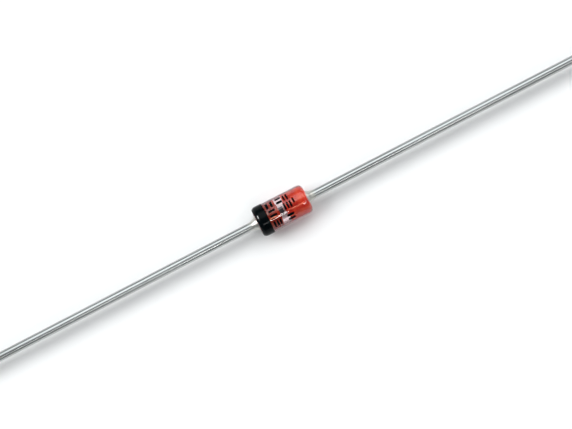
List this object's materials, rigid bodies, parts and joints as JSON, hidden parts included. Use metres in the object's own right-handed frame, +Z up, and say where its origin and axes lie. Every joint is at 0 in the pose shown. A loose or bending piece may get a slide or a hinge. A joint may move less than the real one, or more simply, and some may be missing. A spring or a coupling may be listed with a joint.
{
  "type": "axial glass zener diode",
  "caption": "Small axial zener diode: clear glass sleeve with a black cathode ring, red oxidised slugs clamping a silicon die, and straight tinned wire leads for soldering.",
  "frame": {"origin": "middle of the glass sleeve, on the diode's axis", "axes": "+X along the axis from the cathode (ringed) end to the anode end; +Z up with the diode lying on its glass"},
  "size_m": [0.0556, 0.002, 0.002],
  "materials": {
    "clear_glass": "clear fire-polished lead glass",
    "red_oxide_slug": "copper-clad stud with a red oxide skin, wetted by the glass",
    "silicon": "sawn silicon, dark grey, faintly shiny",
    "silver_plate": "plated silver, satin",
    "tinned_wire": "bright tin over drawn copper-clad steel wire",
    "black_ink": "glossy black baked marking ink"
  },
  "bodies": {
    "root": {"glass_sleeve": "clear_glass", "cathode_slug": "red_oxide_slug", "anode_slug": "red_oxide_slug", "zener_die": "silicon", "contact_bump": "silver_plate", "cathode_lead": "tinned_wire", "anode_lead": "tinned_wire", "cathode_band": "black_ink"}
  },
  "joints": []
}
